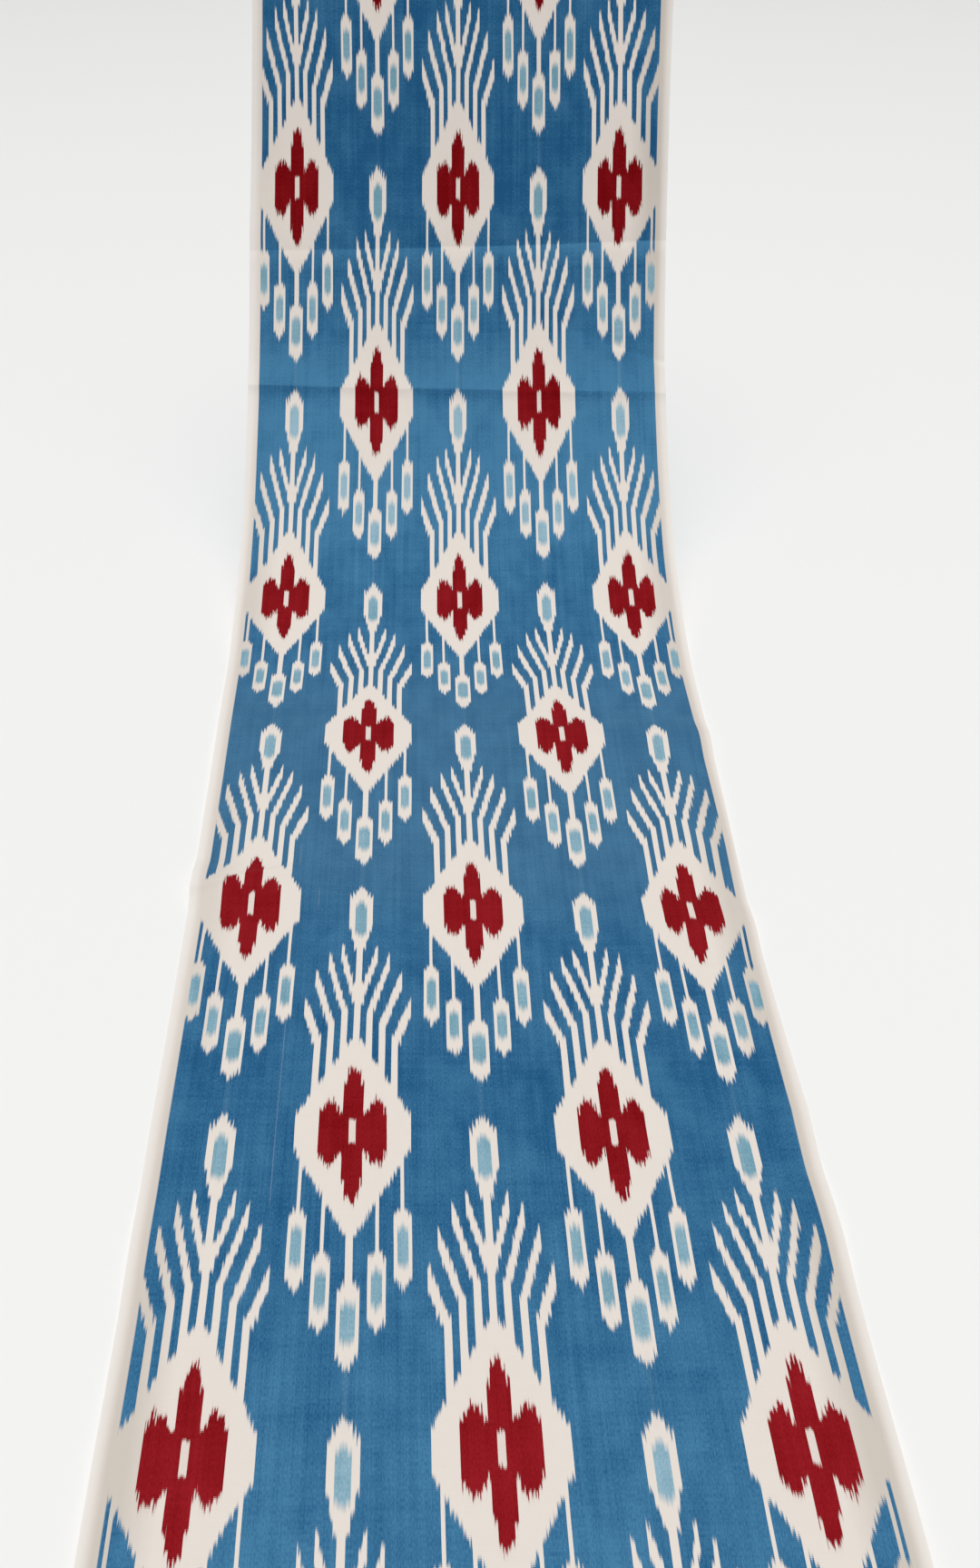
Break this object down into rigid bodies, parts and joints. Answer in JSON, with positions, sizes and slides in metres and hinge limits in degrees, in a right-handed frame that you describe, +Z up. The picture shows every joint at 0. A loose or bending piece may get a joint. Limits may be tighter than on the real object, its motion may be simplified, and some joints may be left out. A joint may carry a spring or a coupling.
{
  "type": "ikat cloth",
  "caption": "Length of woven ikat cloth held at its top edge, sweeping down to lie on the level, with off-white, red and pale blue motifs on an indigo ground.",
  "frame": {"origin": "middle of the cloth's top edge, on its back face, where the cloth is held", "axes": "+X to the right across the cloth, +Y back towards the raised end, +Z up"},
  "size_m": [0.446, 1.5282, 0.5426],
  "materials": {
    "cloth": "matt plain weave with ikat motifs"
  },
  "bodies": {
    "root": {"cloth": "cloth"}
  },
  "joints": []
}
